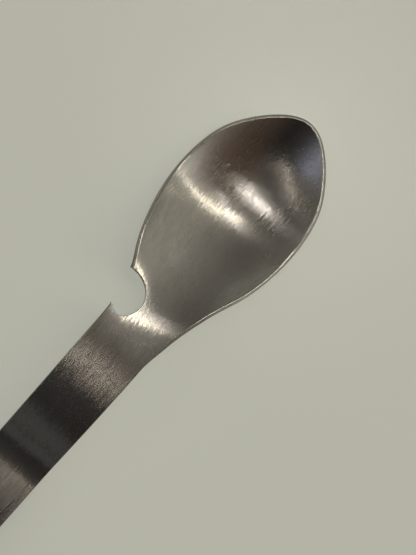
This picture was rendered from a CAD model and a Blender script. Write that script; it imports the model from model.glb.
from math import atan, comb, cos, pi, radians, sin, sqrt, tan

import bpy
import numpy as np
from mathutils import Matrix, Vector
from mathutils.geometry import delaunay_2d_cdt


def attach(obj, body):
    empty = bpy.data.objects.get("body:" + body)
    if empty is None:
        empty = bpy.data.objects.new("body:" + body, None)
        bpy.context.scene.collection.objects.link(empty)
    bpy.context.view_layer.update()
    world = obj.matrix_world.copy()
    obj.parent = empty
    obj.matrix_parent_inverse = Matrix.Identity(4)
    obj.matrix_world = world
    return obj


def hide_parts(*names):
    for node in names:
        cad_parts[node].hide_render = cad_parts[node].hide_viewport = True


# Camp spoon with a cap opener in its neck, and a knife and a fork folded behind its handle.
# Shapes are drawn in millimetres in the frame's axes, and turned to metres when a mesh is made.

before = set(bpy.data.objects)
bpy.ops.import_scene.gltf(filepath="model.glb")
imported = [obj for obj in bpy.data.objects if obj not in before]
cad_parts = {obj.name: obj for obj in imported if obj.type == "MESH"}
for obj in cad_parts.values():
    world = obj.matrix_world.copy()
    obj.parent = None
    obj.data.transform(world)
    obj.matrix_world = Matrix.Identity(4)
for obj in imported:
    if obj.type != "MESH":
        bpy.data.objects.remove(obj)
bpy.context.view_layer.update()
millimetre = 0.001
print("frame loaded, nodes:", len(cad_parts))


# Spoon blank: one sheet, drawn on its underside and thickened along its normal

spoon = {
    "sheet": 1.5,
    "tipX": 102.7,
    "peakX": 19.7,
    "flatX": -28.3,
    "pivotX": -88.3,
    "tailX": -102.7,
    "shift": 0.054,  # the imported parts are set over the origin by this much
    "handleHalf": 9.25,
    "handleTop": 9.76,
    "archRise": 8.0,
    "lowArcShare": 0.24,
    "bowlHalf": 21.0,
    "skinHalf": 24.0,
    "skinLength": 86.0,
    "skinLevel": 0.1,
    "deepestCurve": 9.6 / 441,
    "middle": [1.0, 1.0, 0.852, 0.809, 0.570, -0.461, 0.055, 0.065, -0.282, 0.203, 0.336, 0.646],
    "curve": [0.0, 0.0, 1.219, 1.676, 1.376, 0.940, 0.753, 0.812, 0.946, 1.046, 1.124, 1.212],
    "outline": [
        (0.080, 0.484), (0.148, 0.533), (0.229, 0.614), (0.310, 0.722), (0.392, 0.852), (0.473, 0.940),
        (0.554, 0.990), (0.636, 1.000), (0.717, 0.967), (0.799, 0.874), (0.880, 0.681), (0.940, 0.468),
    ],
    "hook": [(0.110, 0.455), (0.2365, 0.567)],
    "tailCorner": 7.5,
    "rimRound": 0.42,  # bowl
    "edgeRound": 0.3,  # handle
    "notchRound": 0.2,
    "rimStep": 0.5,
    "gridStep": 1.0,
}
notch = {
    "middle": (32.482, 7.335),
    "width": 13.4,
    "throat": [
        (-0.300, 0.194), (-0.325, 0.125), (-0.372, 0.060), (-0.408, -0.010), (-0.424, -0.080), (-0.412, -0.150),
        (-0.362, -0.235), (-0.270, -0.305), (-0.150, -0.357), (-0.010, -0.378), (0.110, -0.355), (0.220, -0.298),
        (0.310, -0.220), (0.380, -0.125), (0.430, -0.025), (0.465, 0.080), (0.482, 0.190), (0.499, 0.380),
    ],
    "corner": 5.2,
    "step": 0.22,
    "clear": 0.4,  # no point is this near to the hook's tip or the bowl's corner
}
scallop = {"x": -62.3, "y": 18.25, "radius": 12.0}
dent = {"at": (32.0, 9.0), "reach": 6.5, "depth": 0.85}  # the punch drew the sheet down round the throat


def bernstein(controls, share):
    last = len(controls) - 1
    return sum(comb(last, k) * share**k * (1 - share) ** (last - k) * c for k, c in enumerate(controls))


def bernsteinSlope(controls, share):
    steps = [b - a for a, b in zip(controls, controls[1:])]
    return len(steps) * bernstein(steps, share)


# Height of the underside and its two slopes, at points given as arrays
def undersideAt(x, y):
    s = spoon
    slope = 2 * atan(s["archRise"] / (s["peakX"] - s["flatX"]))
    bothRadii = (s["peakX"] - s["flatX"]) / sin(slope)
    lowRadius = bothRadii * s["lowArcShare"]
    highRadius = bothRadii - lowRadius - s["sheet"]
    rimRadius = lowRadius + s["sheet"]
    changeX = s["flatX"] + rimRadius * sin(slope)
    top = s["handleTop"]
    z = np.full_like(x, top - s["sheet"])
    slopeX = np.zeros_like(x)
    slopeY = np.zeros_like(x)

    low = (x > s["flatX"]) & (x <= changeX)
    root = np.sqrt(rimRadius**2 - (x[low] - s["flatX"]) ** 2)
    z[low] = top + lowRadius - root
    slopeX[low] = (x[low] - s["flatX"]) / root

    high = (x > changeX) & (x <= s["peakX"])
    root = np.sqrt(highRadius**2 - (s["peakX"] - x[high]) ** 2)
    z[high] = top + s["archRise"] - highRadius - s["sheet"] + root
    slopeX[high] = (s["peakX"] - x[high]) / root

    bowl = x > s["peakX"]
    drop = top + s["archRise"] - s["sheet"] - s["skinLevel"]
    middle = [s["skinLevel"] + share * drop for share in s["middle"]]
    curve = [share * s["deepestCurve"] for share in s["curve"]]
    share = (x[bowl] - s["peakX"]) / s["skinLength"]
    side = y[bowl]
    z[bowl] = bernstein(middle, share) + bernstein(curve, share) * side**2
    slopeX[bowl] = (bernsteinSlope(middle, share) + bernsteinSlope(curve, share) * side**2) / s["skinLength"]
    slopeY[bowl] = 2 * bernstein(curve, share) * side

    dentX, dentY = x - dent["at"][0], y - dent["at"][1]
    sunk = dent["depth"] * np.exp(-(dentX**2 + dentY**2) / dent["reach"] ** 2)
    z -= sunk
    slopeX += 2 * dentX * sunk / dent["reach"] ** 2
    slopeY += 2 * dentY * sunk / dent["reach"] ** 2
    return z, slopeX, slopeY


# One smooth line through the points, sampled at about equal steps
def smoothLine(points, startWay, endWay, step):
    p = np.array(points, float)
    run = np.linalg.norm(np.diff(p, axis=0), axis=1)
    count = len(p)
    a = np.zeros((count, count))
    b = np.zeros((count, 2))
    for k in range(1, count - 1):
        a[k, k - 1], a[k, k], a[k, k + 1] = run[k], 2 * (run[k - 1] + run[k]), run[k - 1]
        b[k] = 3 * (run[k] * (p[k] - p[k - 1]) / run[k - 1] + run[k - 1] * (p[k + 1] - p[k]) / run[k])
    a[0, 0] = a[-1, -1] = 1
    if startWay is None:  # free ends: no bend there
        a[0, 1] = 0.5
        a[-1, -2] = 0.5
        b[0] = 1.5 * (p[1] - p[0]) / run[0]
        b[-1] = 1.5 * (p[-1] - p[-2]) / run[-1]
    else:
        b[0], b[-1] = startWay, endWay
    way = np.linalg.solve(a, b)
    line = [p[0]]
    for k in range(count - 1):
        pieces = max(2, round(run[k] / step))
        for t in np.arange(1, pieces + 1) / pieces:
            h = run[k]
            line.append(
                (2 * t**3 - 3 * t**2 + 1) * p[k]
                + (t**3 - 2 * t**2 + t) * h * way[k]
                + (3 * t**2 - 2 * t**3) * p[k + 1]
                + (t**3 - t**2) * h * way[k + 1]
            )
    return np.array(line)


def straight(start, end, step):
    start, end = np.array(start, float), np.array(end, float)
    pieces = max(1, round(np.linalg.norm(end - start) / step))
    return start + np.outer(np.arange(pieces + 1) / pieces, end - start)


def arc(centre, radius, fromAngle, toAngle, step):
    pieces = max(3, round(abs(radians(toAngle - fromAngle)) * radius / step))
    angles = np.radians(np.linspace(fromAngle, toAngle, pieces + 1))
    return np.array(centre) + radius * np.stack([np.cos(angles), np.sin(angles)], axis=1)


# The blank's edge, anticlockwise from the tail, as runs that meet in corners or smoothly
def outlineRuns():
    s = spoon
    length = s["tipX"] - s["peakX"]
    half = s["handleHalf"]

    def side(shares, way):
        points = [(s["peakX"], way * half)]
        points += [(s["peakX"] + a * length, way * b * s["bowlHalf"]) for a, b in shares]
        return smoothLine([*points, (s["tipX"], 0)], (1, 0), (0, -way), s["rimStep"])

    right = side(s["outline"], -1)
    left = side([*s["hook"], *s["outline"][3:]], 1)
    throat = np.array(notch["middle"]) + notch["width"] * smoothLine(
        notch["throat"], None, None, notch["step"] / notch["width"]
    )
    ramp = straight(throat[-1], throat[-1] + (0, notch["corner"]), notch["step"])
    cut = np.vstack([throat, ramp[1:]])
    edgeY = np.interp(cut[:, 0], left[:, 0], left[:, 1])
    inside = cut[:, 1] < edgeY
    first, last = np.argmax(inside), len(cut) - 1 - np.argmax(inside[::-1])

    def crossing(k):
        a, b = cut[k], cut[k + 1]
        gapA, gapB = a[1] - edgeY[k], b[1] - edgeY[k + 1]
        return a + (b - a) * gapA / (gapA - gapB)

    hookTip, bowlCorner = crossing(first - 1), crossing(last)
    throat = cut[first : last + 1][::-1]
    for corner in (bowlCorner, hookTip):
        throat = throat[np.linalg.norm(throat - corner, axis=1) > notch["clear"]]
    throatRun = np.vstack([bowlCorner, throat, hookTip])
    bowlLeft = left[left[:, 0] > bowlCorner[0] + notch["clear"]][::-1]
    neckLeft = left[left[:, 0] < hookTip[0] - notch["clear"]][::-1]
    chord = sqrt(scallop["radius"] ** 2 - (scallop["y"] - half) ** 2)
    open_ = scallop["x"] - chord, scallop["x"] + chord
    turn = np.degrees(np.arctan2(half - scallop["y"], chord))
    tail, corner = s["tailX"], s["tailCorner"]
    flat = 1.5
    return [
        arc((tail + corner, corner - half), corner, 180, 270, 0.5),
        straight((tail + corner, -half), (s["peakX"], -half), flat),
        right,
        np.vstack([bowlLeft, bowlCorner]),
        throatRun,
        np.vstack([hookTip, neckLeft]),
        straight((s["peakX"], half), (open_[1], half), flat),
        arc((scallop["x"], scallop["y"]), scallop["radius"], turn, -180 - turn, 0.5),
        straight((open_[0], half), (tail + corner, half), flat),
        arc((tail + corner, half - corner), corner, 90, 180, 0.5),
        straight((tail, half - corner), (tail, corner - half), flat),
    ]


def closedLoop(runs):
    points, kinds = [], []
    for number, run in enumerate(runs):
        points.append(run[:-1])
        kinds += [number] * (len(run) - 1)
    points = np.vstack(points)
    keep = np.linalg.norm(points - np.roll(points, 1, axis=0), axis=1) > 1e-4
    return points[keep], np.array(kinds)[keep]


# Unit ways into the blank at the loop's points, and how far each is from a sharp corner
def insetWays(loop):
    ahead = np.roll(loop, -1, axis=0) - loop
    ahead /= np.linalg.norm(ahead, axis=1)[:, None]
    behind = np.roll(ahead, 1, axis=0)
    turn = np.degrees(np.arccos(np.clip((ahead * behind).sum(1), -1, 1)))
    both = ahead + behind
    both /= np.linalg.norm(both, axis=1)[:, None]
    inward = np.stack([-both[:, 1], both[:, 0]], axis=1)
    reach = np.full(len(loop), 1e3)
    for corner in np.nonzero(turn > 24)[0]:
        reach = np.minimum(reach, np.linalg.norm(loop - loop[corner], axis=1))
    return inward, reach


def insideLoop(points, loop):
    a, b = loop, np.roll(loop, -1, axis=0)
    inside = np.zeros(len(points), bool)
    for (ax, ay), (bx, by) in zip(a, b):
        crosses = (ay > points[:, 1]) != (by > points[:, 1])
        if crosses.any():
            at = (bx - ax) * (points[:, 1] - ay) / (by - ay + 1e-12) + ax
            inside ^= crosses & (points[:, 0] < at)
    return inside


# Triangles over the region between the outer loop and its holes, with grid points inside
def fillRegion(outer, holes, grid):
    loops = [outer, *holes]
    keep = insideLoop(grid, outer)
    for hole in holes:
        keep &= ~insideLoop(grid, hole)
    for loop in loops:
        for start in range(0, len(loop), 64):
            part = loop[start : start + 64]
            near = np.linalg.norm(grid[:, None] - part[None], axis=2).min(1)
            keep &= near > 0.45
    points = np.vstack([*loops, grid[keep]])
    edges, at = [], 0
    for loop in loops:
        edges += [(at + k, at + (k + 1) % len(loop)) for k in range(len(loop))]
        at += len(loop)
    made = delaunay_2d_cdt([Vector(p) for p in points], edges, [], 0, 1e-6)
    verts = np.array([tuple(v) for v in made[0]])
    faces = np.array([f for f in made[2] if len(f) == 3])
    centres = verts[faces].mean(1)
    good = insideLoop(centres, outer)
    for hole in holes:
        good &= ~insideLoop(centres, hole)
    nearest = np.array([np.argmin(np.abs(points - v).sum(1)) for v in verts])
    faces = nearest[faces[good]]
    a, b, c = (points[faces[:, k]] for k in range(3))
    flip = np.cross(b - a, c - a) < 0
    faces[flip] = faces[flip][:, ::-1]
    return points, faces


# Holes in the handle, each as rings of (radius, height over the underside) from the top down
rivetRings = [(1.6, 1.5), (1.6, 1.44), (1.12, 1.02), (1.12, 0)]
holes = [
    {
        "at": (-97.7, 0),
        "rings": [(2.3, 1.5), (2.12, 1.44), (2.02, 1.3), (2.0, 1.15), (2.0, 0.35), (2.05, 0.15), (2.3, 0)],
    },
    {"at": (-88.3, 0), "rings": [(4.52, 1.5), (4.42, 1.4), (4.42, 0.7), (2.62, 0.7), (2.62, 0)]},
    {"at": (-33.8, -7.45), "rings": rivetRings},
    {"at": (-58.325, -7.45), "rings": rivetRings},
    {"at": (-33.8, 5.4), "rings": rivetRings},
]


# Points held as x, y on the underside and a height over it, and faces with a normal per corner
class Blank:
    def __init__(self):
        self.points, self.faces, self.normals = [], [], []

    def ring(self, loop, heights):
        start = len(self.points)
        heights = np.broadcast_to(heights, (len(loop),))
        self.points += [(x, y, h) for (x, y), h in zip(loop, heights)]
        return start

    def band(self, lower, upper, count, lowerNormals, upperNormals):
        for k in range(count):
            n = (k + 1) % count
            self.faces.append((lower + k, lower + n, upper + n, upper + k))
            self.normals.append((lowerNormals[k], lowerNormals[n], upperNormals[n], upperNormals[k]))


# Corner normals as an outward way in the blank's plane and a share along its normal
def outwardNormals(inward, lift):
    return [(-x, -y, lift) for x, y in inward]


def makeSpoon():
    s = spoon
    runs = outlineRuns()
    loop, kinds = closedLoop(runs)
    inward, reach = insetWays(loop)
    radius = np.full(len(loop), s["edgeRound"])
    bowlPart = np.clip((loop[:, 0] - s["peakX"]) / 12, 0, 1)
    radius += (s["rimRound"] - s["edgeRound"]) * bowlPart
    radius[kinds == 4] = s["notchRound"]
    radius = np.minimum(radius, 0.05 + 0.35 * reach)
    for hole in holes:  # two rivets lie close to the edge, and its round is smaller there
        gap = np.linalg.norm(loop - hole["at"], axis=1) - hole["rings"][0][0]
        radius = np.minimum(radius, 0.6 * gap)

    blank = Blank()
    count = len(loop)
    steps = 4
    rings = []
    for k in range(steps + 1):  # round under edge, from the underside out to the wall
        turn = pi / 2 * k / steps
        rings.append((loop + inward * (radius * (1 - sin(turn)))[:, None], radius * (1 - cos(turn)), -cos(turn)))
    for k in range(steps + 1):  # round upper edge
        turn = pi / 2 * k / steps
        ring = loop + inward * (radius * (1 - cos(turn)))[:, None]
        rings.append((ring, s["sheet"] - radius * (1 - sin(turn)), sin(turn)))
    starts = [blank.ring(ring, heights) for ring, heights, lift in rings]
    for k in range(len(rings) - 1):
        lower, upper = (outwardNormals(inward, ring[2]) for ring in rings[k : k + 2])
        blank.band(starts[k], starts[k + 1], count, lower, upper)

    holeTop, holeUnder, holeStarts = [], [], []
    for hole in holes:
        pieces = 48
        angles = np.arange(pieces) * 2 * pi / pieces
        ways = np.stack([np.cos(angles), np.sin(angles)], axis=1)
        loops = [np.array(hole["at"]) + r * ways for r, h in hole["rings"]]
        marks = [blank.ring(one, h) for one, (r, h) in zip(loops, hole["rings"])]
        for k in range(len(loops) - 1):
            (ra, ha), (rb, hb) = hole["rings"][k : k + 2]
            run = sqrt((ra - rb) ** 2 + (ha - hb) ** 2)
            lift = (ra - rb) / run
            towards = [(-x, -y, lift) for x, y in ways]
            blank.band(marks[k + 1], marks[k], pieces, towards, towards)
            for f in range(pieces):
                blank.faces[-1 - f] = blank.faces[-1 - f][::-1]
                blank.normals[-1 - f] = blank.normals[-1 - f][::-1]
        holeTop.append(loops[0])
        holeUnder.append(loops[-1])
        holeStarts.append((marks[0], marks[-1]))

    xs = np.arange(s["tailX"], s["tipX"], s["gridStep"])
    ys = np.arange(-s["bowlHalf"], s["bowlHalf"] + 0.1, s["gridStep"])
    grid = np.array([(x + 0.5 * s["gridStep"] * (k % 2), y) for k, y in enumerate(ys) for x in xs])
    for top in (True, False):
        rim = rings[-1 if top else 0][0]
        rimStart = starts[-1 if top else 0]
        region, faces = fillRegion(rim, holeTop if top else holeUnder, grid)
        index = list(range(rimStart, rimStart + count))
        for loopPoints, marks in zip(holeTop if top else holeUnder, holeStarts):
            start = marks[0 if top else 1]
            index += list(range(start, start + len(loopPoints)))
        extra = blank.ring(region[len(index) :], s["sheet"] if top else 0.0)
        index += list(range(extra, extra + len(region) - len(index)))
        for face in faces:
            corners = tuple(index[c] for c in face)
            blank.faces.append(corners if top else corners[::-1])
            blank.normals.append(((0, 0, 1.0 if top else -1.0),) * 3)

    points = np.array(blank.points)
    z, slopeX, slopeY = undersideAt(points[:, 0], points[:, 1])
    normal = np.stack([-slopeX, -slopeY, np.ones_like(z)], axis=1)
    normal /= np.linalg.norm(normal, axis=1)[:, None]
    base = np.stack([points[:, 0], points[:, 1], z], axis=1)
    placed = base + normal * points[:, 2:3]
    placed[:, 0] += s["shift"]

    mesh = bpy.data.meshes.new("spoon")
    mesh.from_pydata((placed * millimetre).tolist(), [], blank.faces)
    corners = []
    for face, marks in zip(blank.faces, blank.normals):
        for v, (ox, oy, lift) in zip(face, marks):
            n = normal[v]
            out = np.array([ox, oy, 0.0])
            size = np.linalg.norm(out)
            if size > 0 and abs(lift) < 1:
                out -= n * out.dot(n)
                out /= np.linalg.norm(out)
                n = n * lift + out * sqrt(1 - lift * lift)
            elif lift < 0:
                n = -n
            corners.append(n.tolist())
    mesh.polygons.foreach_set("use_smooth", [True] * len(mesh.polygons))
    mesh.normals_split_custom_set(corners)
    made = bpy.data.objects.new("spoon", mesh)
    bpy.context.scene.collection.objects.link(made)
    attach(made, "handle")
    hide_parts("spoon_body")
    print("spoon made, points:", len(placed))
    return made


spoonPiece = makeSpoon()


# Finishes

# A short way to place and join shader nodes
class Nodes:
    def __init__(self, tree):
        self.tree = tree

    def add(self, kind, **settings):
        node = self.tree.nodes.new(kind)
        for name, value in settings.items():
            setattr(node, name, value)
        return node

    def link(self, source, target):
        self.tree.links.new(source, target)

    def math(self, operation, a, b=None):
        node = self.add("ShaderNodeMath", operation=operation)
        for socket, value in zip(node.inputs, (a, b)):
            if value is None:
                continue
            if isinstance(value, (int, float)):
                socket.default_value = value
            else:
                self.link(value, socket)
        return node.outputs[0]

    def span(self, value, fromLow, fromHigh, toLow, toHigh):
        node = self.add("ShaderNodeMapRange")
        self.link(value, node.inputs["Value"])
        for name, number in (("From Min", fromLow), ("From Max", fromHigh), ("To Min", toLow), ("To Max", toHigh)):
            if isinstance(number, (int, float)):
                node.inputs[name].default_value = number
            else:
                self.link(number, node.inputs[name])
        return node.outputs[0]


def newGroup(name, inputs, outputs):
    tree = bpy.data.node_groups.new(name, "ShaderNodeTree")
    for label, kind, value in inputs:
        socket = tree.interface.new_socket(label, in_out="INPUT", socket_type=kind)
        if value is not None:
            socket.default_value = value
    for label, kind in outputs:
        tree.interface.new_socket(label, in_out="OUTPUT", socket_type=kind)
    nodes = Nodes(tree)
    return tree, nodes, nodes.add("NodeGroupInput"), nodes.add("NodeGroupOutput")


# Noise drawn out along X: one value that changes slowly along the grain and quickly across it
def streaks(n, place, width, length, detail=0.0):
    stretch = n.add("ShaderNodeVectorMath", operation="DIVIDE")
    size = n.add("ShaderNodeCombineXYZ")
    for socket, value in zip(size.inputs, (length, width, width)):
        if isinstance(value, (int, float)):
            socket.default_value = value
        else:
            n.link(value, socket)
    n.link(place, stretch.inputs[0])
    n.link(size.outputs[0], stretch.inputs[1])
    noise = n.add("ShaderNodeTexNoise")
    noise.inputs["Scale"].default_value = 1.0
    noise.inputs["Detail"].default_value = detail
    n.link(stretch.outputs[0], noise.inputs["Vector"])
    return noise.outputs["Fac"]


# Lines left by a belt: a tone, and a slight tilt of each line along and across the grain
def brushGrain():
    tree, n, start, end = newGroup(
        "Belt grain",
        [
            ("Place", "NodeSocketVector", None),
            ("Line Width", "NodeSocketFloat", 0.0003),
            ("Line Length", "NodeSocketFloat", 0.03),
        ],
        [("Tone", "NodeSocketFloat"), ("Tilt", "NodeSocketFloat")],
    )
    width, length = start.outputs["Line Width"], start.outputs["Line Length"]
    place = start.outputs["Place"]
    fine = streaks(n, place, width, length, 1.0)
    mid = streaks(n, place, n.math("MULTIPLY", width, 3.1), n.math("MULTIPLY", length, 1.7), 1.0)
    wide = streaks(n, place, n.math("MULTIPLY", width, 9.0), n.math("MULTIPLY", length, 2.4))
    short = streaks(n, place, n.math("MULTIPLY", width, 1.2), n.math("MULTIPLY", length, 0.3))
    tone = n.math("ADD", n.math("MULTIPLY", fine, 0.45), n.math("MULTIPLY", mid, 0.35))
    tone = n.math("ADD", tone, n.math("MULTIPLY", wide, 0.2))
    n.link(n.span(tone, 0.34, 0.66, 0.0, 1.0), end.inputs["Tone"])
    tilt = n.math("ADD", n.math("MULTIPLY", short, 0.5), n.math("MULTIPLY", mid, 0.5))
    n.link(n.math("MULTIPLY", n.math("SUBTRACT", tilt, 0.5), 4.0), end.inputs["Tilt"])
    return tree


# Slow changes over the surface from handling and polishing, from 0 to 1
def softPatches():
    tree, n, start, end = newGroup(
        "Handling patches",
        [("Place", "NodeSocketVector", None), ("Size", "NodeSocketFloat", 0.012)],
        [("Patches", "NodeSocketFloat")],
    )
    scale = n.math("DIVIDE", 1.0, start.outputs["Size"])
    noise = n.add("ShaderNodeTexNoise")
    noise.inputs["Detail"].default_value = 3.0
    noise.inputs["Roughness"].default_value = 0.55
    n.link(start.outputs["Place"], noise.inputs["Vector"])
    n.link(scale, noise.inputs["Scale"])
    n.link(n.span(noise.outputs["Fac"], 0.3, 0.7, 0.0, 1.0), end.inputs["Patches"])
    return tree


# Single scratches that cross the grain at a few angles, as a mask
def scratchMarks():
    tree, n, start, end = newGroup(
        "Scratches",
        [("Place", "NodeSocketVector", None), ("Size", "NodeSocketFloat", 0.004), ("Share", "NodeSocketFloat", 0.3)],
        [("Scratches", "NodeSocketFloat")],
    )
    total = None
    for turn, shift in ((7.0, 0.0), (-9.0, 0.37), (21.0, 0.81)):
        turned = n.add("ShaderNodeVectorRotate", rotation_type="Z_AXIS")
        turned.inputs["Angle"].default_value = radians(turn)
        n.link(start.outputs["Place"], turned.inputs["Vector"])
        moved = n.add("ShaderNodeVectorMath", operation="ADD")
        moved.inputs[1].default_value = (shift, shift, 0.0)
        n.link(turned.outputs[0], moved.inputs[0])
        size = start.outputs["Size"]
        line = streaks(n, moved.outputs[0], n.math("MULTIPLY", size, 0.035), size)
        edge = n.math("SUBTRACT", 0.80, n.math("MULTIPLY", start.outputs["Share"], 0.2))
        mark = n.span(line, edge, n.math("ADD", edge, 0.06), 0.0, 1.0)
        total = mark if total is None else n.math("MAXIMUM", total, mark)
    n.link(total, end.inputs["Scratches"])
    return tree


# The surface's normal, tilted a little along the grain for each line, and by slow waves
def grainNormal():
    tree, n, start, end = newGroup(
        "Grain normal",
        [
            ("Place", "NodeSocketVector", None),
            ("Along", "NodeSocketVector", (1.0, 0.0, 0.0)),
            ("Tilt", "NodeSocketFloat", 0.0),
            ("Line Tilt", "NodeSocketFloat", 0.02),
            ("Wave Tilt", "NodeSocketFloat", 0.02),
            ("Wave Size", "NodeSocketFloat", 0.01),
        ],
        [("Normal", "NodeSocketVector")],
    )
    lines = n.add("ShaderNodeVectorMath", operation="SCALE")
    n.link(start.outputs["Along"], lines.inputs[0])
    n.link(n.math("MULTIPLY", start.outputs["Tilt"], start.outputs["Line Tilt"]), lines.inputs["Scale"])
    noise = n.add("ShaderNodeTexNoise")
    noise.inputs["Detail"].default_value = 1.0
    n.link(start.outputs["Place"], noise.inputs["Vector"])
    n.link(n.math("DIVIDE", 1.0, start.outputs["Wave Size"]), noise.inputs["Scale"])
    centred = n.add("ShaderNodeVectorMath", operation="SUBTRACT")
    centred.inputs[1].default_value = (0.5, 0.5, 0.5)
    n.link(noise.outputs["Color"], centred.inputs[0])
    waves = n.add("ShaderNodeVectorMath", operation="SCALE")
    n.link(centred.outputs[0], waves.inputs[0])
    n.link(n.math("MULTIPLY", start.outputs["Wave Tilt"], 4.0), waves.inputs["Scale"])
    both = n.add("ShaderNodeVectorMath", operation="ADD")
    n.link(lines.outputs[0], both.inputs[0])
    n.link(waves.outputs[0], both.inputs[1])
    world = n.add("ShaderNodeVectorTransform", vector_type="VECTOR", convert_from="OBJECT", convert_to="WORLD")
    n.link(both.outputs[0], world.inputs[0])
    shape = n.add("ShaderNodeNewGeometry")
    total = n.add("ShaderNodeVectorMath", operation="ADD")
    n.link(shape.outputs["Normal"], total.inputs[0])
    n.link(world.outputs[0], total.inputs[1])
    unit = n.add("ShaderNodeVectorMath", operation="NORMALIZE")
    n.link(total.outputs[0], unit.inputs[0])
    n.link(unit.outputs[0], end.inputs["Normal"])
    return tree


beltGrain = brushGrain()
handlingPatches = softPatches()
scratchGroup = scratchMarks()
normalGroup = grainNormal()


# The piece's own coordinates, turned about Z so that X runs along the grain
def turnedPlace(n, turn):
    coords = n.add("ShaderNodeTexCoord")
    turned = n.add("ShaderNodeVectorRotate", rotation_type="Z_AXIS")
    turned.inputs["Angle"].default_value = radians(-turn)
    n.link(coords.outputs["Object"], turned.inputs["Vector"])
    return turned.outputs[0], coords


# Coordinates whose lines lean over between two places along X, and the way that the lines run there
def sweptPlace(n, sweep):
    coords = n.add("ShaderNodeTexCoord")
    split = n.add("ShaderNodeSeparateXYZ")
    n.link(coords.outputs["Object"], split.inputs[0])
    low, high = (x * millimetre for x in sweep["x"])
    share = n.span(split.outputs[0], low, high, 0.0, 1.0)
    square = n.math("MULTIPLY", share, share)
    cube = n.math("MULTIPLY", square, share)
    ease = n.math("SUBTRACT", n.math("MULTIPLY", square, 3.0), n.math("MULTIPLY", cube, 2.0))
    rise = sweep["rise"] * millimetre
    across = n.math("SUBTRACT", split.outputs[1], n.math("MULTIPLY", ease, rise))
    place = n.add("ShaderNodeCombineXYZ")
    for socket, value in zip(place.inputs, (split.outputs[0], across, split.outputs[2])):
        n.link(value, socket)
    slope = n.math("MULTIPLY", n.math("SUBTRACT", share, square), 6 * rise / (high - low))
    along = n.add("ShaderNodeCombineXYZ")
    along.inputs[0].default_value = 1.0
    n.link(slope, along.inputs[1])
    acrossWay = n.add("ShaderNodeCombineXYZ")
    n.link(n.math("MULTIPLY", slope, -1.0), acrossWay.inputs[0])
    acrossWay.inputs[1].default_value = 1.0
    return place.outputs[0], coords, along.outputs[0], acrossWay.outputs[0]


# Belt-ground steel: tone, gloss and tilt follow the grain, and the sheen is drawn out across it
def steelMaterial(name, look):
    made = bpy.data.materials.new(name)
    made.use_nodes = True
    tree = made.node_tree
    tree.nodes.clear()
    n = Nodes(tree)
    shader = n.add("ShaderNodeBsdfPrincipled")
    output = n.add("ShaderNodeOutputMaterial")
    n.link(shader.outputs[0], output.inputs["Surface"])
    shader.inputs["Metallic"].default_value = 1.0
    shader.inputs["Anisotropic"].default_value = look["anisotropy"]

    turn = radians(look["grainTurn"])
    along, across = (cos(turn), sin(turn), 0.0), (-sin(turn), cos(turn), 0.0)
    if "sweep" in look:
        place, coords, along, across = sweptPlace(n, look["sweep"])
    else:
        place, coords = turnedPlace(n, look["grainTurn"])
    grain = n.add("ShaderNodeGroup", node_tree=beltGrain)
    grain.inputs["Line Width"].default_value = look["lineWidth"]
    grain.inputs["Line Length"].default_value = look["lineLength"]
    n.link(place, grain.inputs["Place"])
    patches = n.add("ShaderNodeGroup", node_tree=handlingPatches)
    patches.inputs["Size"].default_value = look["patchSize"]
    n.link(place, patches.inputs["Place"])
    scratches = n.add("ShaderNodeGroup", node_tree=scratchGroup)
    scratches.inputs["Size"].default_value = look["scratchSize"]
    scratches.inputs["Share"].default_value = look["scratchShare"]
    n.link(place, scratches.inputs["Place"])

    def mixed(factor, below, colour):
        mix = n.add("ShaderNodeMix", data_type="RGBA")
        n.link(factor, mix.inputs["Factor"])
        if isinstance(below, tuple):
            mix.inputs["A"].default_value = (*below, 1)
        else:
            n.link(below, mix.inputs["A"])
        mix.inputs["B"].default_value = (*colour, 1)
        return mix.outputs["Result"]

    shares = n.math(
        "ADD",
        n.math("MULTIPLY", grain.outputs["Tone"], 1 - look["patchShare"]),
        n.math("MULTIPLY", patches.outputs["Patches"], look["patchShare"]),
    )
    colour = mixed(shares, look["dark"], look["light"])
    colour = mixed(n.math("MULTIPLY", scratches.outputs["Scratches"], 0.5), colour, look["scratch"])
    facing = n.add("ShaderNodeSeparateXYZ")
    n.link(coords.outputs["Normal"], facing.inputs[0])
    wall = n.span(n.math("ABSOLUTE", facing.outputs[2]), 0.56, 0.74, 1.0, 0.0)
    colour = mixed(n.math("MULTIPLY", wall, look["wallShare"]), colour, look["wall"])
    n.link(colour, shader.inputs["Base Color"])

    low, high = look["roughness"]
    n.link(n.span(shares, 0.0, 1.0, high, low), shader.inputs["Roughness"])

    tilted = n.add("ShaderNodeGroup", node_tree=normalGroup)
    values = {
        "Along": along, "Line Tilt": look["lineTilt"], "Wave Tilt": look["waveTilt"], "Wave Size": look["waveSize"],
    }
    for name, value in values.items():
        if isinstance(value, (tuple, float)):
            tilted.inputs[name].default_value = value
        else:
            n.link(value, tilted.inputs[name])
    n.link(place, tilted.inputs["Place"])
    scratched = n.math("MULTIPLY", scratches.outputs["Scratches"], look["scratchTilt"])
    tilt = n.math("ADD", grain.outputs["Tilt"], scratched)
    n.link(tilt, tilted.inputs["Tilt"])
    n.link(tilted.outputs["Normal"], shader.inputs["Normal"])

    if look.get("turned"):  # lathe marks run round the middle
        tangent = n.add("ShaderNodeTangent", direction_type="RADIAL", axis="Z")
        n.link(tangent.outputs[0], shader.inputs["Tangent"])
    else:
        world = n.add("ShaderNodeVectorTransform", vector_type="VECTOR", convert_from="OBJECT", convert_to="WORLD")
        if isinstance(across, tuple):
            world.inputs[0].default_value = across
        else:
            n.link(across, world.inputs[0])
        n.link(world.outputs[0], shader.inputs["Tangent"])
    return made


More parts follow.
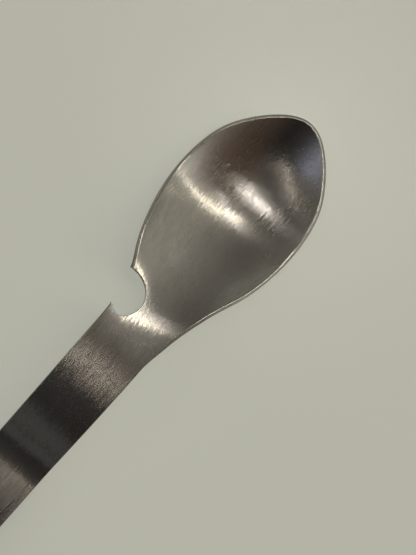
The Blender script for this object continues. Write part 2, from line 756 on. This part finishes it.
steelLook = {
    "dark": (0.49, 0.47, 0.44),
    "light": (0.65, 0.63, 0.59),
    "scratch": (0.80, 0.79, 0.76),
    "wall": (0.11, 0.10, 0.088),
    "wallShare": 0.92,
    "anisotropy": 0.9,
    "grainTurn": 0.0,
    "lineWidth": 0.0002,
    "lineLength": 0.02,
    "lineTilt": 0.026,
    "waveTilt": 0.005,
    "waveSize": 0.012,
    "patchSize": 0.012,
    "patchShare": 0.35,
    "scratchSize": 0.0045,
    "scratchShare": 0.4,
    "scratchTilt": 0.35,
    "roughness": (0.21, 0.29),
}
looks = {
    "spoon_steel": {"sweep": {"x": (16.0, 62.0), "rise": 7.5}},
    "plate_steel": {"lineWidth": 0.0003, "dark": (0.46, 0.45, 0.43), "light": (0.60, 0.59, 0.57)},
    "spring_steel": {"dark": (0.36, 0.36, 0.36), "light": (0.50, 0.50, 0.50), "roughness": (0.26, 0.36)},
    "blade_steel": {
        "grainTurn": 90.0, "dark": (0.60, 0.60, 0.59), "light": (0.72, 0.72, 0.70),
        "roughness": (0.22, 0.32),
    },
    "fork_steel": {"lineWidth": 0.0003, "roughness": (0.32, 0.42)},
    "fastener_steel": {
        "turned": True, "dark": (0.50, 0.50, 0.50), "light": (0.62, 0.62, 0.61),
        "roughness": (0.22, 0.30),
    },
    "rivet_steel": {},  # ground flush with the sheet
    "washer_bronze": {
        "dark": (0.48, 0.30, 0.13), "light": (0.68, 0.47, 0.24), "roughness": (0.30, 0.42), "patchShare": 0.6,
    },
}
finishes = {slot: steelMaterial(slot, {**steelLook, **look}) for slot, look in looks.items()}
for node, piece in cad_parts.items():
    for place in piece.material_slots:
        place.material = finishes[place.material.name.split(".")[0]]
spoonPiece.data.materials.append(finishes["spoon_steel"])
print("finishes made:", len(finishes))


# Floor, world and lights

floor = {
    "level": -0.0003,
    "half": 3.0,
    "colour": (0.78, 0.80, 0.715),
    "change": 0.03,  # slow change of tone over the floor
    "paler": (0.235, 0.243, 0.220),  # added for the camera and for reflections
}


def makeFloor():
    mesh = bpy.data.meshes.new("floor")
    h, z = floor["half"], floor["level"]
    mesh.from_pydata([(-h, -h, z), (h, -h, z), (h, h, z), (-h, h, z)], [], [(0, 1, 2, 3)])
    made = bpy.data.objects.new("floor", mesh)
    bpy.context.scene.collection.objects.link(made)
    paint = bpy.data.materials.new("floor_paint")
    paint.use_nodes = True
    n = Nodes(paint.node_tree)
    n.tree.nodes.clear()
    diffuse = n.add("ShaderNodeBsdfDiffuse")
    coords = n.add("ShaderNodeTexCoord")
    noise = n.add("ShaderNodeTexNoise")
    noise.inputs["Scale"].default_value = 6.0
    n.link(coords.outputs["Object"], noise.inputs["Vector"])
    colour = n.add("ShaderNodeMix", data_type="RGBA")
    colour.inputs["A"].default_value = (*[c * (1 - floor["change"]) for c in floor["colour"]], 1)
    colour.inputs["B"].default_value = (*[c * (1 + floor["change"]) for c in floor["colour"]], 1)
    n.link(noise.outputs["Fac"], colour.inputs["Factor"])
    n.link(colour.outputs["Result"], diffuse.inputs["Color"])
    ray = n.add("ShaderNodeLightPath")
    glow = n.add("ShaderNodeEmission")
    glow.inputs["Color"].default_value = (*floor["paler"], 1)
    n.link(n.math("MAXIMUM", ray.outputs["Is Camera Ray"], ray.outputs["Is Glossy Ray"]), glow.inputs["Strength"])
    both = n.add("ShaderNodeAddShader")
    n.link(diffuse.outputs[0], both.inputs[0])
    n.link(glow.outputs[0], both.inputs[1])
    clear = n.add("ShaderNodeBsdfTransparent")
    side = n.add("ShaderNodeNewGeometry")
    mix = n.add("ShaderNodeMixShader")
    output = n.add("ShaderNodeOutputMaterial")
    n.link(side.outputs["Backfacing"], mix.inputs[0])  # open to views from below
    n.link(both.outputs[0], mix.inputs[1])
    n.link(clear.outputs[0], mix.inputs[2])
    n.link(mix.outputs[0], output.inputs["Surface"])
    mesh.materials.append(paint)
    return made


makeFloor()

room = {
    "base": (0.215, 0.203, 0.177),
    # soft patches of the room: way towards it, its inner and outer angle, and its colour
    "patches": [
        {"way": (1.3, -1.4, 1.0), "inner": 10, "outer": 36, "colour": (0.36, 0.34, 0.29)},
        {"way": (0.0, -1.0, 0.14), "inner": 10, "outer": 24, "colour": (1.0, 0.98, 0.90)},
        {"way": (1.0, -0.3, 0.10), "inner": 14, "outer": 30, "colour": (0.85, 0.83, 0.75)},
        {"way": (0.3, 2.2, 1.0), "inner": 22, "outer": 62, "colour": (0.105, 0.098, 0.085)},
        {"way": (-0.7, 0.1, 1.0), "inner": 14, "outer": 36, "colour": (0.075, 0.072, 0.063)},
        {"way": (-0.5, -1.1, 1.0), "inner": 18, "outer": 42, "colour": (0.085, 0.052, 0.036)},
        {"way": (-1.35, -0.2, 1.0), "inner": 14, "outer": 42, "colour": (0.03, 0.027, 0.022)},
        {"way": (-0.41, -0.03, 1.0), "inner": 3, "outer": 9, "colour": (0.075, 0.070, 0.062)},
        {"way": (-0.95, -0.30, 1.0), "inner": 5, "outer": 22, "colour": (0.004, 0.003, 0.002)},
    ],
    "horizon": (0.46, 0.47, 0.41),
    "horizonTop": 0.22,
    "strength": 1.0,
}


def makeWorld():
    world = bpy.data.worlds.new("room")
    bpy.context.scene.world = world
    world.use_nodes = True
    n = Nodes(world.node_tree)
    n.tree.nodes.clear()
    coords = n.add("ShaderNodeTexCoord")
    split = n.add("ShaderNodeSeparateXYZ")
    n.link(coords.outputs["Generated"], split.inputs[0])

    def mixed(factor, below, colour):
        mix = n.add("ShaderNodeMix", data_type="RGBA")
        n.link(factor, mix.inputs["Factor"])
        if isinstance(below, tuple):
            mix.inputs["A"].default_value = (*below, 1)
        else:
            n.link(below, mix.inputs["A"])
        mix.inputs["B"].default_value = (*colour, 1)
        return mix.outputs["Result"]

    colour = room["base"]
    for patch in room["patches"]:
        dot = n.add("ShaderNodeVectorMath", operation="DOT_PRODUCT")
        n.link(coords.outputs["Generated"], dot.inputs[0])
        dot.inputs[1].default_value = Vector(patch["way"]).normalized()
        near = n.span(dot.outputs["Value"], cos(radians(patch["outer"])), cos(radians(patch["inner"])), 0.0, 1.0)
        near.node.interpolation_type = "SMOOTHSTEP"
        colour = mixed(near, colour, patch["colour"])
    low = n.span(split.outputs[2], 0.05, room["horizonTop"], 1.0, 0.0)
    low.node.interpolation_type = "SMOOTHSTEP"
    ray = n.add("ShaderNodeLightPath")
    colour = mixed(n.math("MULTIPLY", low, 0.6), colour, room["horizon"])
    colour = mixed(ray.outputs["Is Camera Ray"], colour, room["horizon"])
    background = n.add("ShaderNodeBackground")
    background.inputs["Strength"].default_value = room["strength"]
    n.link(colour, background.inputs["Color"])
    output = n.add("ShaderNodeOutputWorld")
    n.link(background.outputs[0], output.inputs["Surface"])


makeWorld()

lights = {
    # place in metres, size along X and Y before it is turned, turn about Z or what it faces, brightness, colour
    "tubeAhead": {
        "at": (0.690, -1.35, 1.0), "size": (0.038, 3.2), "turn": 14.0, "bright": 7.4,
        "colour": (1.0, 0.93, 0.76),
    },
    "tubeEdge": {
        "at": (0.356, -0.10, 1.0), "size": (0.012, 0.9), "turn": -12.0, "bright": 11.0,
        "colour": (1.0, 0.92, 0.88),
    },
    "lampFar": {
        "at": (-0.066, 0.19, 0.30), "size": (0.008, 0.30), "turn": -14.0, "bright": 4.0,
        "colour": (1.0, 0.90, 0.78),
    },
    "lampBehind": {
        "at": (-0.098, -0.020, 0.30), "size": (0.009, 0.09), "towards": (0.010, 0.0, 0.015), "spread": 20,
        "bright": 0.042, "colour": (1.0, 0.90, 0.78),
    },
    "windowBehind": {
        "at": (-0.545, 0.6, 0.6), "size": (0.12, 0.22), "towards": (0.09, 0, 0), "bright": 1.2,
        "colour": (0.62, 0.70, 1.0),
    },
    "lampTail": {
        "at": (-0.375, 0.0, 0.30), "size": (0.14, 0.25), "turn": 0, "bright": 0.062,
        "colour": (0.9, 0.95, 1.0),
    },
    "lampNeck": {
        "at": (0.152, -0.022, 0.30), "size": (0.022, 0.036), "towards": (0.031, 0.003, 0.015), "spread": 14,
        "bright": 0.023, "colour": (1.0, 1.0, 0.97),
    },
}
glowRow = {
    # a row of small lamps with grids over the bowl, that the neck doesn't see
    "x": 0.0610, "z": 0.30, "fromY": -0.09, "toY": 0.20, "count": 6,
    "width": 0.006, "towards": (0.094, 0.0, 0.0), "spread": 24, "bright": 0.27, "colour": (1.0, 0.92, 0.87),
}


def makeLight(name, light):
    lamp = bpy.data.lights.new(name, "AREA")
    lamp.shape = "RECTANGLE"
    lamp.size, lamp.size_y = light["size"]
    lamp.energy = light["bright"] * pi * lamp.size * lamp.size_y
    lamp.color = light["colour"]
    if "spread" in light:
        lamp.spread = radians(light["spread"])
    made = bpy.data.objects.new(name, lamp)
    made.location = light["at"]
    if "towards" in light:
        way = Vector(light["towards"]) - Vector(light["at"])
        made.rotation_euler = way.to_track_quat("-Z", "Y").to_euler()
    else:
        made.rotation_euler = (0, 0, radians(light["turn"]))
    bpy.context.scene.collection.objects.link(made)
    return made


step = (glowRow["toY"] - glowRow["fromY"]) / glowRow["count"]
for number in range(glowRow["count"]):
    place = (glowRow["x"], glowRow["fromY"] + step * (number + 0.5), glowRow["z"])
    lights[f"glow{number}"] = {**glowRow, "at": place, "size": (glowRow["width"], step)}
for name, light in lights.items():
    makeLight(name, light)
print("floor, world and lights made")


# Camera, held almost straight above the bowl, with the handle to the lower left

camera = {"at": (0.0622, 0.0078, 0.2555), "turn": (-4.181, -0.789, -48.649), "lens": 56.4}


def makeCamera():
    data = bpy.data.cameras.new("camera")
    data.lens = camera["lens"]
    data.sensor_width = 36.0
    data.clip_start, data.clip_end = 0.01, 20.0
    made = bpy.data.objects.new("camera", data)
    made.location = camera["at"]
    made.rotation_euler = [radians(angle) for angle in camera["turn"]]
    bpy.context.scene.collection.objects.link(made)
    bpy.context.scene.camera = made


makeCamera()
bpy.context.scene.view_settings.view_transform = "Standard"
